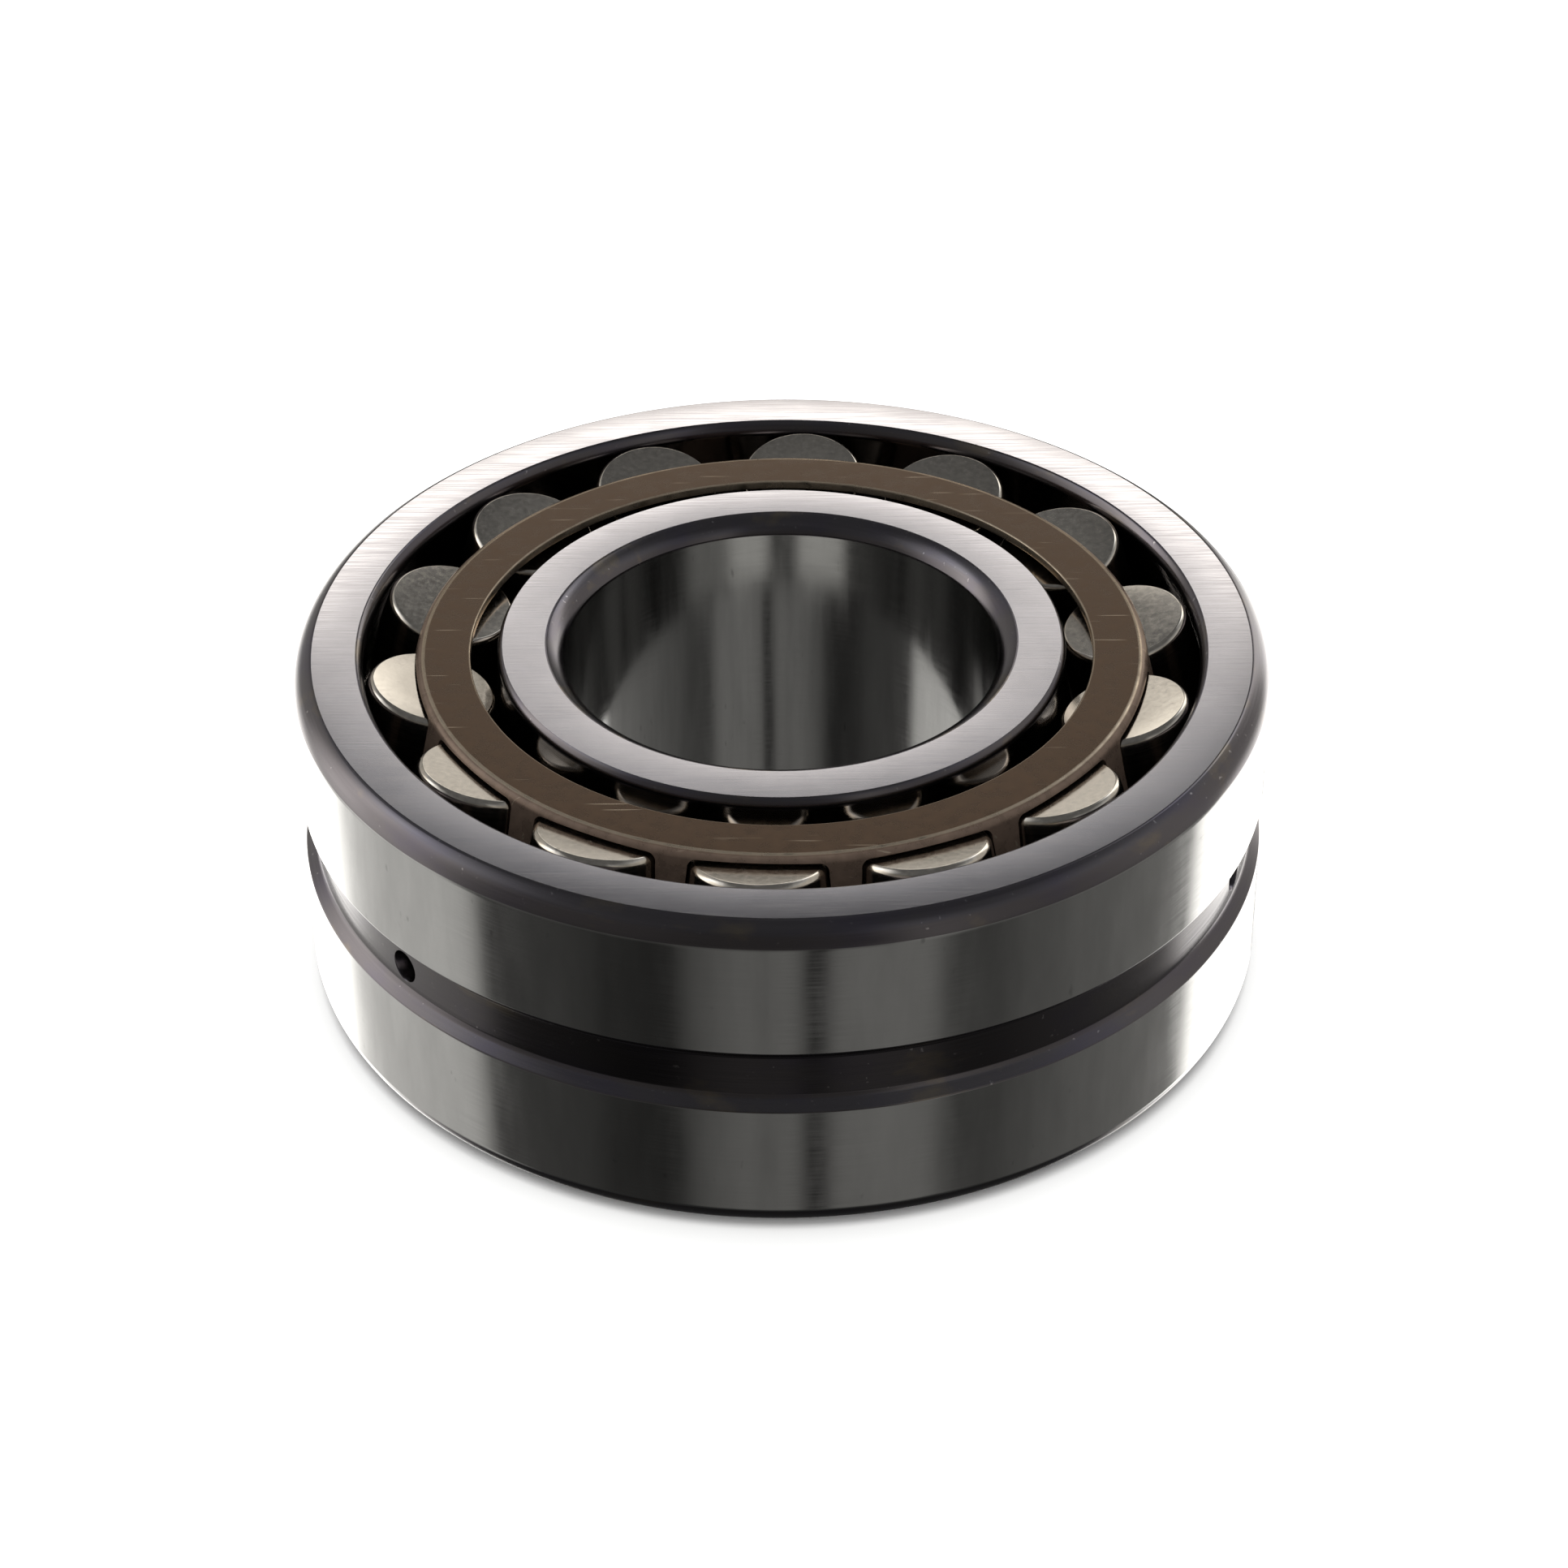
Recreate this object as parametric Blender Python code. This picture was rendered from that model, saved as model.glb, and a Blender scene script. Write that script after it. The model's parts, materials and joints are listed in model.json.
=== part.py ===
"""Spherical roller bearing, ISO 15 dimension series 23, 40 mm bore, with two rows of barrel rollers.

The origin is the bearing's centre and +Z is its axis. Sizes are in millimetres, and each mesh is made
in metres. A section is a list of (radius, height) points in the half plane beside the axis.

The outer ring's raceway is part of a sphere around the origin. Each roller lies on that sphere at the
contact angle, so its axis is square to the line from the origin to the roller's middle. The rollers
are as thick as the space between neighbours and the inner ring's least wall both allow, and their
length and contact angle fill the height between the guide ring and the cages' flanges.
"""

import math

import bmesh
import bpy
from mathutils import Matrix, Vector

MM = 0.001
SEAM_DISTANCE = 0.001 * MM

# Boundary sizes of the whole bearing
OUTER_DIAMETER = 90.0
BORE_DIAMETER = 40.0
WIDTH = 33.0

# Outer ring
OUTER_WALL = 3.6
OUTER_CORNER_RADIAL = 1.8
OUTER_CORNER_AXIAL = 2.4
RACE_MOUTH_RADIAL = 1.11
RACE_MOUTH_AXIAL = 1.3
GROOVE_WIDTH = 6.4
GROOVE_FLOOR_WIDTH = 4.4
GROOVE_DEPTH = 1.1
LUBE_HOLE_DIAMETER = 3.0
LUBE_HOLES = 3
LUBE_HOLE_AZIMUTH = 99.8

# Rollers
ROLLERS_PER_ROW = 14
ROLLER_SPACING = 2.3
ROLLER_CROWN_RATIO = 0.97
ROLLER_CHAMFER_RADIAL = 0.5
ROLLER_CHAMFER_AXIAL = 0.55
UPPER_ROW_AZIMUTH = 86.3
LOWER_ROW_AZIMUTH = UPPER_ROW_AZIMUTH + 180.0 / ROLLERS_PER_ROW

# Inner ring
LEAST_INNER_WALL = 5.5
BORE_CHAMFER_RADIAL = 1.8
BORE_CHAMFER_AXIAL = 1.6
INNER_EDGE_RADIAL = 0.44
INNER_EDGE_AXIAL = 1.1
CENTRE_LAND_WIDTH = 3.0

# Cages, each pressed from one sheet
CAGE_SHEET = 0.9
CAGE_RECESS = 0.78
CAGE_CORNER_RADIUS = 0.6
CAGE_OFFSET = 1.1
CAGE_END_BAND = 1.4

# Guide ring between the rows, as thick as this beside the rollers' pitch circle
GUIDE_THICKNESS = 3.8

# Clearances between pieces that run on each other
RACE_CLEARANCE = 0.2
POCKET_CLEARANCE = 0.2
FLANGE_CLEARANCE = 0.2
WINDOW_END_CLEARANCE = 0.3
GUIDE_CLEARANCE = 0.25
GUIDE_BORE_CLEARANCE = 0.3
GUIDE_CAGE_CLEARANCE = 1.4
CAGE_BORE_CLEARANCE = 2.45

# Facets
RING_SEGMENTS = 84
ROLLER_SEGMENTS = 16
HOLE_SEGMENTS = 16
SMOOTH_ANGLE = math.radians(25.0)
CUT_MARGIN = 0.5

OUTER_RADIUS = OUTER_DIAMETER / 2
BORE_RADIUS = BORE_DIAMETER / 2
HALF_WIDTH = WIDTH / 2
RACE_RADIUS = OUTER_RADIUS - OUTER_WALL
CAGE_TOP = HALF_WIDTH - CAGE_RECESS
CAGE_UNDERSIDE = CAGE_TOP - CAGE_SHEET


class RollerPlace:
    """Size and place of the rollers, in the half plane beside the axis.

    u points from the origin to the roller's middle, and a is the roller's axis, towards the face.
    """

    def __init__(self, angle):
        self.angle = angle
        self.cos = math.cos(angle)
        self.sin = math.sin(angle)
        room = self.cos * math.sin(math.pi / ROLLERS_PER_ROW)
        reach = RACE_RADIUS - RACE_CLEARANCE
        beside_neighbours = (2 * room * reach - ROLLER_SPACING) / (1 + room)
        over_inner_wall = reach - RACE_CLEARANCE - (BORE_RADIUS + LEAST_INNER_WALL) / self.cos
        self.diameter = min(beside_neighbours, over_inner_wall)
        self.distance = reach - self.diameter / 2
        self.pitch_radius = self.distance * self.cos
        # The roller's end comes nearest to the cage's flange where the flange bends down.
        self.bend_radius = self.radius_on_cone(CAGE_OFFSET - CAGE_SHEET / 2, CAGE_UNDERSIDE)
        end_height = CAGE_UNDERSIDE - FLANGE_CLEARANCE
        self.half_length = end_height * self.cos - self.bend_radius * self.sin

    def point(self, outward, along):
        """The (radius, height) that lies outward from the roller's axis and along it."""
        across = self.distance + outward
        return (across * self.cos - along * self.sin, across * self.sin + along * self.cos)

    def radius_on_cone(self, outward, height):
        """Radius at a height on the cone that runs beside the roller's axis."""
        return (self.distance + outward - height * self.sin) / self.cos

    def next_angle(self):
        """Contact angle that fills the height between the guide ring and the cage's flange."""
        height = CAGE_UNDERSIDE - FLANGE_CLEARANCE + GUIDE_THICKNESS / 2 + GUIDE_CLEARANCE / self.cos
        return math.atan(height / (self.bend_radius + self.pitch_radius))


def settled_rollers():
    """Repeat the sum until the contact angle no longer changes."""
    rollers = RollerPlace(math.radians(12.0))
    for _ in range(60):
        rollers = RollerPlace(rollers.next_angle())
    return rollers


ROLLERS = settled_rollers()


def clear_scene():
    for thing in list(bpy.data.objects):
        bpy.data.objects.remove(thing, do_unlink=True)


def make_material(name, colour, roughness, metallic=1.0):
    material = bpy.data.materials.new(name)
    material.use_nodes = True
    shader = material.node_tree.nodes["Principled BSDF"]
    shader.inputs["Base Color"].default_value = (*colour, 1.0)
    shader.inputs["Roughness"].default_value = roughness
    shader.inputs["Metallic"].default_value = metallic
    return material


def mirrored(half_section):
    """Add the lower half, mirrored in the middle plane, to a section that runs from top to middle."""
    return half_section + [(radius, -height) for radius, height in reversed(half_section)]


def steps(first, last, count):
    """Evenly spaced values from first to last."""
    return [first + (last - first) * step / count for step in range(count + 1)]


def finish_mesh(shape, name):
    """Merge the seam, face outwards, shade smooth between sharp edges, and hand back the mesh."""
    bmesh.ops.remove_doubles(shape, verts=shape.verts, dist=SEAM_DISTANCE)
    bmesh.ops.recalc_face_normals(shape, faces=shape.faces)
    mesh = bpy.data.meshes.new(name)
    shape.to_mesh(mesh)
    shape.free()
    mesh.shade_smooth()
    mesh.set_sharp_from_angle(angle=SMOOTH_ANGLE)
    return mesh


def spun(section, segments, closed=True):
    """Turn a section about the Z axis. An open section's two ends are filled with flat faces."""
    shape = bmesh.new()
    verts = [shape.verts.new((radius * MM, 0.0, height * MM)) for radius, height in section]
    edges = [shape.edges.new(pair) for pair in zip(verts, verts[1:])]
    if closed:
        edges.append(shape.edges.new((verts[-1], verts[0])))
    bmesh.ops.spin(
        shape,
        geom=verts + edges,
        cent=(0.0, 0.0, 0.0),
        axis=(0.0, 0.0, 1.0),
        angle=2 * math.pi,
        steps=segments,
    )
    bmesh.ops.remove_doubles(shape, verts=shape.verts, dist=SEAM_DISTANCE)
    if not closed:
        rims = [edge for edge in shape.edges if edge.is_boundary]
        bmesh.ops.edgeloop_fill(shape, edges=rims)
    return shape


def add_object(name, mesh, material=None, parent=None):
    thing = bpy.data.objects.new(name, mesh)
    bpy.context.scene.collection.objects.link(thing)
    thing.parent = parent
    if material and not mesh.materials:
        mesh.materials.append(material)
    return thing


def add_cutter(name, mesh, target):
    """Cut the target with a hidden shape that moves with it."""
    cutter = add_object(name, mesh, parent=target)
    cutter.hide_render = True
    cutter.display_type = "WIRE"
    boolean = target.modifiers.new(name, "BOOLEAN")
    boolean.operation = "DIFFERENCE"
    boolean.solver = "EXACT"
    boolean.object = cutter


def outer_ring_section():
    """Ring with rounded corners, a grease groove around it and a spherical raceway inside it."""
    race_end = HALF_WIDTH - RACE_MOUTH_AXIAL
    face_inner = math.sqrt(RACE_RADIUS**2 - HALF_WIDTH**2) + RACE_MOUTH_RADIAL
    corner = math.radians(45.0)
    corner_point = (
        OUTER_RADIUS - OUTER_CORNER_RADIAL * (1 - math.cos(corner)),
        HALF_WIDTH - OUTER_CORNER_AXIAL * (1 - math.sin(corner)),
    )
    race = [(math.sqrt(RACE_RADIUS**2 - z**2), z) for z in steps(-race_end, race_end, 9)]
    outside = mirrored([
        (face_inner, HALF_WIDTH),
        (OUTER_RADIUS - OUTER_CORNER_RADIAL, HALF_WIDTH),
        corner_point,
        (OUTER_RADIUS, HALF_WIDTH - OUTER_CORNER_AXIAL),
        (OUTER_RADIUS, GROOVE_WIDTH / 2),
        (OUTER_RADIUS - GROOVE_DEPTH, GROOVE_FLOOR_WIDTH / 2),
    ])
    return outside + race


def lube_hole_mesh():
    """Radial drillings from the groove to the raceway, as one cutter."""
    shape = bmesh.new()
    inner = RACE_RADIUS - 2 * CUT_MARGIN
    outer = OUTER_RADIUS + CUT_MARGIN
    for hole in range(LUBE_HOLES):
        azimuth = math.radians(LUBE_HOLE_AZIMUTH) + 2 * math.pi * hole / LUBE_HOLES
        place = (
            Matrix.Rotation(azimuth, 4, "Z")
            @ Matrix.Translation(((inner + outer) / 2 * MM, 0.0, 0.0))
            @ Matrix.Rotation(math.radians(90.0), 4, "Y")
            @ Matrix.Rotation(math.pi / HOLE_SEGMENTS, 4, "Z")
        )
        bmesh.ops.create_cone(
            shape,
            cap_ends=True,
            segments=HOLE_SEGMENTS,
            radius1=LUBE_HOLE_DIAMETER / 2 * MM,
            radius2=LUBE_HOLE_DIAMETER / 2 * MM,
            depth=(outer - inner) * MM,
            matrix=place,
        )
    return finish_mesh(shape, "lube_holes")


def inner_race_radius(height):
    """Radius of the inner ring's upper raceway, an arc as hollow as the outer ring's sphere."""
    arc_distance = ROLLERS.distance - ROLLERS.diameter / 2 - RACE_CLEARANCE + RACE_RADIUS
    drop = height - arc_distance * ROLLERS.sin
    return arc_distance * ROLLERS.cos - math.sqrt(RACE_RADIUS**2 - drop**2)


def centre_land_radius():
    return inner_race_radius(CENTRE_LAND_WIDTH / 2)


def inner_ring_section():
    """Ring with a chamfered bore, two hollow raceways and a plain land between them."""
    race_top = HALF_WIDTH - INNER_EDGE_AXIAL
    race = [(inner_race_radius(z), z) for z in steps(race_top, CENTRE_LAND_WIDTH / 2, 6)]
    outside = mirrored([(inner_race_radius(HALF_WIDTH) - INNER_EDGE_RADIAL, HALF_WIDTH)] + race)
    bore = [
        (BORE_RADIUS + BORE_CHAMFER_RADIAL, -HALF_WIDTH),
        (BORE_RADIUS, -HALF_WIDTH + BORE_CHAMFER_AXIAL),
        (BORE_RADIUS, HALF_WIDTH - BORE_CHAMFER_AXIAL),
        (BORE_RADIUS + BORE_CHAMFER_RADIAL, HALF_WIDTH),
    ]
    return outside + bore


def guide_ring_section():
    """Wedge whose faces run beside the rollers' inner ends, from the inner ring's land to the cages."""
    reach = ROLLERS.half_length + GUIDE_CLEARANCE
    bore = centre_land_radius() + GUIDE_BORE_CLEARANCE
    rim = ROLLERS.point(CAGE_OFFSET - CAGE_SHEET / 2 - GUIDE_CAGE_CLEARANCE, -reach)
    return mirrored([(bore, (bore * ROLLERS.sin - reach) / ROLLERS.cos), rim])


def cage_section():
    """Sheet that runs from the flat flange, round the bend and down beside the rollers' axes."""
    outside = CAGE_OFFSET + CAGE_SHEET / 2
    inside = CAGE_OFFSET - CAGE_SHEET / 2
    end = -(ROLLERS.half_length + WINDOW_END_CLEARANCE + CAGE_END_BAND)
    corner_radius = ROLLERS.radius_on_cone(outside, CAGE_TOP)
    turn = math.pi / 2 - ROLLERS.angle
    tangent = CAGE_CORNER_RADIUS * math.tan(turn / 2)
    bend = []
    for angle in steps(0.0, turn, 2):
        bend.append((
            corner_radius - tangent + CAGE_CORNER_RADIUS * math.sin(angle),
            CAGE_TOP - CAGE_CORNER_RADIUS * (1 - math.cos(angle)),
        ))
    flange_inner = inner_race_radius(CAGE_UNDERSIDE) + CAGE_BORE_CLEARANCE
    return (
        [(flange_inner, CAGE_TOP)]
        + bend
        + [ROLLERS.point(outside, end), ROLLERS.point(inside, end)]
        + [(ROLLERS.bend_radius, CAGE_UNDERSIDE), (flange_inner, CAGE_UNDERSIDE)]
    )


def roller_frame(number):
    """Place of one roller on its cage: local Z runs along the roller's axis, towards the face."""
    radius, height = ROLLERS.point(0.0, 0.0)
    return (
        Matrix.Rotation(2 * math.pi * number / ROLLERS_PER_ROW, 4, "Z")
        @ Matrix.Translation((radius * MM, 0.0, height * MM))
        @ Matrix.Rotation(-ROLLERS.angle, 4, "Y")
    )


def barrel_radius(along):
    """Radius of a roller's barrel at a distance from its middle, up to the chamfer at its end."""
    crown = RACE_RADIUS * ROLLER_CROWN_RATIO
    place = min(abs(along), ROLLERS.half_length - ROLLER_CHAMFER_AXIAL)
    return ROLLERS.diameter / 2 - crown + math.sqrt(crown**2 - place**2)


def window_outline():
    """Window as (along the roller's axis, sideways) points. Its sides follow the barrel."""
    half_height = ROLLERS.half_length + WINDOW_END_CLEARANCE
    depth = CAGE_OFFSET - CAGE_SHEET / 2
    side = []
    for along in steps(half_height, -half_height, 4):
        side.append((along, math.sqrt(barrel_radius(along) ** 2 - depth**2) + POCKET_CLEARANCE))
    return side + [(along, -sideways) for along, sideways in reversed(side)]


def window_mesh():
    """One block for each roller, which cuts the cage's windows and leaves its bars."""
    outline = window_outline()
    half_window = max(sideways for along, sideways in outline)
    # The sheet curves inwards beside the middle of a window, and the block reaches past it.
    curve_depth = ROLLERS.bend_radius - math.sqrt(ROLLERS.bend_radius**2 - half_window**2)
    inside = CAGE_OFFSET - CAGE_SHEET / 2 - curve_depth - CUT_MARGIN
    outside = CAGE_OFFSET + CAGE_SHEET / 2 + CUT_MARGIN
    shape = bmesh.new()
    for number in range(ROLLERS_PER_ROW):
        place = roller_frame(number)
        rims = []
        for depth in (inside, outside):
            points = [Vector((depth, sideways, along)) * MM for along, sideways in outline]
            rims.append([shape.verts.new(place @ point) for point in points])
        for rim in rims:
            shape.faces.new(rim)
        for first in range(len(outline)):
            second = (first + 1) % len(outline)
            shape.faces.new((rims[0][first], rims[0][second], rims[1][second], rims[1][first]))
    return finish_mesh(shape, "windows")


def roller_section():
    """Barrel with a chamfer at each end, from the upper end's rim to the lower end's."""
    barrel_end = ROLLERS.half_length - ROLLER_CHAMFER_AXIAL
    barrel = [(barrel_radius(along), along) for along in steps(barrel_end, -barrel_end, 4)]
    rim = barrel[0][0] - ROLLER_CHAMFER_RADIAL
    return [(rim, ROLLERS.half_length)] + barrel + [(rim, -ROLLERS.half_length)]


def add_row(side, tilt, azimuth, carrier, materials, meshes):
    """A cage with its rollers. The lower cage is the same piece as the upper one, turned over."""
    cage = add_object("cage_" + side, meshes["cage"], materials["cage"], carrier)
    cage.rotation_euler = (tilt, 0.0, math.radians(azimuth))
    add_cutter("windows_" + side, meshes["windows"], cage)
    for number in range(ROLLERS_PER_ROW):
        name = f"roller_{side}_{number + 1:02d}"
        roller = add_object(name, meshes["roller"], materials["roller"], cage)
        roller.matrix_local = roller_frame(number)


def main():
    clear_scene()
    materials = {
        "ring": make_material("bearing_steel", (0.44, 0.43, 0.43), 0.28),
        "roller": make_material("roller_steel", (0.55, 0.53, 0.50), 0.3),
        "cage": make_material("phosphated_sheet", (0.115, 0.085, 0.06), 0.5, 0.6),
        "guide": make_material("sintered_iron", (0.2, 0.19, 0.18), 0.5),
    }
    meshes = {
        "cage": finish_mesh(spun(cage_section(), RING_SEGMENTS), "cage"),
        "windows": window_mesh(),
        "roller": finish_mesh(spun(roller_section(), ROLLER_SEGMENTS, closed=False), "roller"),
    }
    outer_mesh = finish_mesh(spun(outer_ring_section(), RING_SEGMENTS), "outer_ring")
    outer_ring = add_object("outer_ring", outer_mesh, materials["ring"])
    add_cutter("lube_holes", lube_hole_mesh(), outer_ring)
    guide_mesh = finish_mesh(spun(guide_ring_section(), RING_SEGMENTS), "guide_ring")
    guide_ring = add_object("guide_ring", guide_mesh, materials["guide"], outer_ring)
    inner_mesh = finish_mesh(spun(inner_ring_section(), RING_SEGMENTS), "inner_ring")
    add_object("inner_ring", inner_mesh, materials["ring"], guide_ring)
    add_row("upper", 0.0, UPPER_ROW_AZIMUTH, guide_ring, materials, meshes)
    add_row("lower", math.pi, LOWER_ROW_AZIMUTH, guide_ring, materials, meshes)


main()
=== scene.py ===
import json
import math

import bmesh
import bpy
from mathutils import Matrix, Vector


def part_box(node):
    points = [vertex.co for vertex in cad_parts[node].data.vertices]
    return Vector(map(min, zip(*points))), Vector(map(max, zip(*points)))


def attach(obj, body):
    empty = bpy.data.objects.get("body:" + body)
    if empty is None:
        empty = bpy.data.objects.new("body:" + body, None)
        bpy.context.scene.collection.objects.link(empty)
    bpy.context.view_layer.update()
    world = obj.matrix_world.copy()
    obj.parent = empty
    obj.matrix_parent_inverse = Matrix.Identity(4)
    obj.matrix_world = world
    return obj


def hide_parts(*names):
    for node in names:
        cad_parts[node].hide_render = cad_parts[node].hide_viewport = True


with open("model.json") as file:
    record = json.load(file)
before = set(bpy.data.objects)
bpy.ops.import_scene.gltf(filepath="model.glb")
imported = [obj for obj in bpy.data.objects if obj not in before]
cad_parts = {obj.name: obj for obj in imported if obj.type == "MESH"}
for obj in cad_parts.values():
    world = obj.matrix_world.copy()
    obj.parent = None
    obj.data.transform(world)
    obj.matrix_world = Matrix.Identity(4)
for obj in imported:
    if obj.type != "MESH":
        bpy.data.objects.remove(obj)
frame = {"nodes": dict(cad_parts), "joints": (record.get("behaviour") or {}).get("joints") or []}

bl_info = {
    "name": "Spherical roller bearing",
    "version": (1, 0, 0),
    "blender": (4, 5, 0),
    "location": "3D View > Sidebar > Bearing",
    "description": "Ground, pressed and turned pieces of a double row bearing, and a studio to see them in",
    "category": "Add Mesh",
}

MM = 0.001
MERGE_DISTANCE = 0.002 * MM
# A face belongs to a surface when its middle is this close to it, and is level when its normal is.
SAME_SURFACE = 0.03 * MM
LEVEL = 0.99
# Edges sharper than this stay sharp. The weight favours large faces, so that flats look flat.
SMOOTH_ANGLE = math.radians(38.0)
FLATS_WEIGHT = 90
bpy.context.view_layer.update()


# --- What the frame says -----------------------------------------------------------------------------


def section_points(node):
    """Every (radius, height) of a CAD node's points, measured from the bearing's axis."""
    return [(math.hypot(v.co.x, v.co.y), v.co.z) for v in frame["nodes"][node].data.vertices]


def joint_named(name):
    return next(joint for joint in frame["joints"] if joint["name"] == name)


def roller_spins(side):
    """The spin joints of one row's rollers, in the order of their numbers."""
    names = sorted(node for node in frame["nodes"] if node.startswith(f"roller_{side}_"))
    return [(name, joint_named(name + "_spin")) for name in names]


def along_roller(node, joint):
    """Half length and radius of a roller, measured on its CAD node along its joint's axis."""
    middle = Vector(joint["pos_m"])
    axis = Vector(joint["axis"])
    offsets = [v.co - middle for v in frame["nodes"][node].data.vertices]
    half_length = max(abs(offset.dot(axis)) for offset in offsets)
    radius = max((offset - axis * offset.dot(axis)).length for offset in offsets)
    return half_length, radius


FIRST_ROLLER, FIRST_SPIN = roller_spins("upper")[0]
ROLLER_HALF_LENGTH, ROLLER_RADIUS = along_roller(FIRST_ROLLER, FIRST_SPIN)
ROLLER_MIDDLE = (math.hypot(*FIRST_SPIN["pos_m"][:2]), FIRST_SPIN["pos_m"][2])
CONTACT_ANGLE = math.atan2(ROLLER_MIDDLE[1], ROLLER_MIDDLE[0])
ROLLER_DISTANCE = math.hypot(*ROLLER_MIDDLE)
OUTER_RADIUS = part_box("outer_ring")[1].x
HALF_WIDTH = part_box("outer_ring")[1].z
BORE_RADIUS = min(radius for radius, height in section_points("inner_ring"))
CAGE_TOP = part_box("cage_upper")[1].z
CAGE_BORE = min(radius for radius, height in section_points("cage_upper"))
CAGE_LOW_RIM = min(section_points("cage_upper"), key=lambda point: point[1])
GUIDE_BORE = min(section_points("guide_ring"))
GUIDE_RIM = max(section_points("guide_ring"))


# --- Sizes and colours that a user would change ------------------------------------------------------


def linear(code):
    """Linear red, green and blue of an sRGB hex value."""
    channels = [int(code[start:start + 2], 16) / 255 for start in (1, 3, 5)]
    return tuple(c / 12.92 if c <= 0.04045 else ((c + 0.055) / 1.055) ** 2.4 for c in channels)


def length(name, description, millimetres):
    """A length that the sidebar shows with its unit."""
    return bpy.props.FloatProperty(
        name=name, description=description, default=millimetres * MM, min=0.0, unit="LENGTH", precision=5
    )


def colour(name, description, code):
    return bpy.props.FloatVectorProperty(
        name=name, description=description, default=linear(code), size=3, min=0.0, max=1.0, subtype="COLOR"
    )


class BearingSizes(bpy.types.PropertyGroup):
    """Sizes that the frame doesn't give by itself: walls, roundings and the grease groove."""

    outer_wall: length("Outer wall", "Ring wall at the middle of the raceway", 3.6)
    corner_radial: length("Corner, radial", "Outer corner measured across the face", 1.8)
    corner_axial: length("Corner, axial", "Outer corner measured along the axis", 2.4)
    mouth_radial: length("Mouth, radial", "Chamfer at the raceway's mouth, across the face", 1.11)
    mouth_axial: length("Mouth, axial", "Chamfer at the raceway's mouth, along the axis", 1.3)
    groove_width: length("Groove width", "Grease groove at the outer surface", 6.4)
    groove_floor: length("Groove floor", "Flat floor of the grease groove", 4.4)
    groove_depth: length("Groove depth", "Depth of the grease groove", 1.1)
    hole_diameter: length("Lube hole", "Diameter of each radial drilling", 3.0)
    hole_azimuth: bpy.props.FloatProperty(
        name="Hole azimuth",
        description="Where the first drilling is",
        default=math.radians(99.8),
        unit="ROTATION",
    )
    hole_count: bpy.props.IntProperty(name="Holes", description="Drillings around the ring", default=3, min=1)
    edge_break: length("Edge break", "Rounding of a ground edge", 0.12)
    bore_chamfer_radial: length("Bore chamfer, radial", "Bore rounding measured across the face", 1.8)
    bore_chamfer_axial: length("Bore chamfer, axial", "Bore rounding measured along the axis", 1.6)
    inner_edge_radial: length("Inner ring edge, radial", "Chamfer outside the inner ring's face", 0.44)
    inner_edge_axial: length("Inner ring edge, axial", "Height of that chamfer", 1.1)
    centre_land: length("Centre land", "Plain land between the inner raceways", 3.0)
    race_clearance: length("Race clearance", "Gap between rollers and each raceway", 0.2)
    crown_radius: length("Roller crown", "Radius of the barrel's outline along its axis", 40.16)
    roller_flat_inset: length("Roller flat", "Rounding of a roller's end, across the end", 0.5)
    roller_flat_drop: length("Roller end rounding", "Rounding of a roller's end, along the axis", 0.55)
    cage_sheet: length("Cage sheet", "Thickness of the sheet that the cages are pressed from", 0.9)
    cage_offset: length("Cage offset", "Sheet's middle, outside the rollers' axes", 1.1)
    cage_corner: length("Cage bend", "Outer radius of the bend at the flange", 0.6)
    cage_edge: length("Cage edge", "Rounding of the sheet's blanked edges", 0.2)
    pocket_clearance: length("Pocket clearance", "Gap at each side of a roller in its window", 0.2)
    window_end_clearance: length("Window end", "Gap at each end of a roller in its window", 0.3)
    window_corner: length("Window corner", "Rounding of a window's corners", 0.8)


class BearingFinishes(bpy.types.PropertyGroup):
    """Colours of the finishes, from bare ground steel to the brown of a treated sheet."""

    ground: colour("Ground face", "Steel ground flat with a fine wheel", "#B9B4B4")
    # Darker than the steel's own grey: painted shade for the dark studio that the cylinder mirrors.
    honed: colour("Ground cylinder", "Steel ground round and polished", "#8D8D8C")
    turned: colour("Turned corner", "Hardened skin that the grinding wheel leaves", "#5E5A5C")
    straw: colour("Temper straw", "Palest tint of the hardened skin", "#9A8A68")
    violet: colour("Temper violet", "Deepest tint of the hardened skin", "#575260")
    raceway: colour("Raceway", "Superfinished steel", "#A5A09D")
    roller_end: colour("Roller end", "Ground end with a warm mottle", "#BFB7AB")
    roller_barrel: colour("Roller barrel", "Superfinished barrel", "#B4AFA9")
    sheet: colour("Cage sheet", "Brown phosphate coat on pressed sheet", "#33261B")
    # Painted light: the cage's outward side, beyond the bend, is painted in this paler coat.
    drawn: colour("Drawn sheet", "The same coat where the drawing tool has rubbed it", "#574A41")
    # Scratches, and the cage's bright edges, which are partly rubbed bare and partly a painted highlight.
    worn: colour("Worn sheet", "Steel that shows where the coat is rubbed", "#A39684")
    iron: colour("Guide ring", "Steam treated sintered iron", "#55514F")
    floor: colour("Floor", "Pale paper floor", "#F4F4F3")
    backdrop: colour("Backdrop", "Pale paper behind the bearing", "#F1F1F0")


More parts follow.
